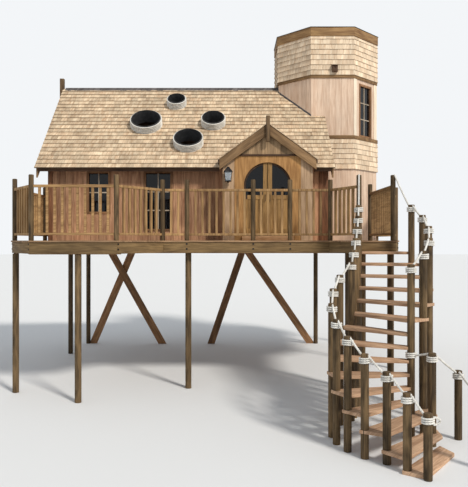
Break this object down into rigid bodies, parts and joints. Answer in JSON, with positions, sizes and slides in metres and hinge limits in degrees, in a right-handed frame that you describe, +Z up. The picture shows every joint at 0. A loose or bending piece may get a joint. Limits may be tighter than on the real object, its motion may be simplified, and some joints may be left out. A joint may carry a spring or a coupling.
{
  "type": "tree house",
  "caption": "Gabled cabin with an arched porch and an eight-sided tower on a posted deck, with a winding rope-railed stair.",
  "frame": {"origin": "centre of the foot of the middle front ground post", "axes": "+Z up, +Y from the porch and stair towards the back, +X to the right seen from the front"},
  "size_m": [8.353, 11.0566, 8.25],
  "materials": {
    "cedar_boards": "oiled and weathered",
    "porch_boards": "oiled and weathered",
    "roof_shakes": "oiled and weathered",
    "tower_shingles": "oiled and weathered",
    "deck_timber": "oiled and weathered",
    "round_poles": "oiled and weathered",
    "baluster_timber": "oiled and weathered",
    "tread_boards": "oiled and weathered",
    "rope": "off-white laid rope",
    "rubber": "matt black",
    "glass": "clear, dark behind",
    "black_iron": "painted black"
  },
  "bodies": {
    "house": {"balustrade_front": "baluster_timber", "balustrade_rear": "baluster_timber", "balustrade_right": "baluster_timber", "barge_boards": "cedar_boards", "cabin_floor": "deck_timber", "deck_beams": "deck_timber", "deck_braces": "deck_timber", "deck_floor": "deck_timber", "deck_joists": "deck_timber", "deck_newels": "round_poles", "deck_rim": "deck_timber", "door_hinge_pins": "black_iron", "door_step": "deck_timber", "finials": "cedar_boards", "floor_battens": "deck_timber", "front_roof": "roof_shakes", "front_wall": "cedar_boards", "ground_posts": "round_poles", "handrail_ropes": "rope", "left_gable_wall": "cedar_boards", "lower_treads": "tread_boards", "nest_box": "porch_boards", "porch_gable": "porch_boards", "porch_jambs": "porch_boards", "porch_lantern": "black_iron", "porch_roof": "roof_shakes", "porch_side_walls": "porch_boards", "rear_roof": "roof_shakes", "rear_wall": "cedar_boards", "ridge_cap": "cedar_boards", "right_gable_wall": "cedar_boards", "rope_collars": "rope", "rope_wraps": "rope", "stair_posts": "round_poles", "stem_seals": "rubber", "tower_cornice": "cedar_boards", "tower_floor": "deck_timber", "tower_inner_walls": "tower_shingles", "tower_roof": "deck_timber", "tower_walls": "tower_shingles", "trunk_headers": "deck_timber", "upper_treads": "tread_boards", "window_frames": "porch_boards", "window_glass": "glass"},
    "left_door": {"left_door": "porch_boards", "left_door_glass": "glass", "left_door_hinges": "black_iron"},
    "right_door": {"right_door": "porch_boards", "right_door_glass": "glass", "right_door_hinges": "black_iron"}
  },
  "joints": [
    {"name": "left_door_hinge", "type": "hinge", "parent": "house", "child": "left_door", "pos_m": [1.16, 0.755, 4.1], "axis": [0, 0, 1], "range_deg": [0, 100]},
    {"name": "right_door_hinge", "type": "hinge", "parent": "house", "child": "right_door", "pos_m": [2.2, 0.755, 4.1], "axis": [0, 0, -1], "range_deg": [0, 100]}
  ]
}
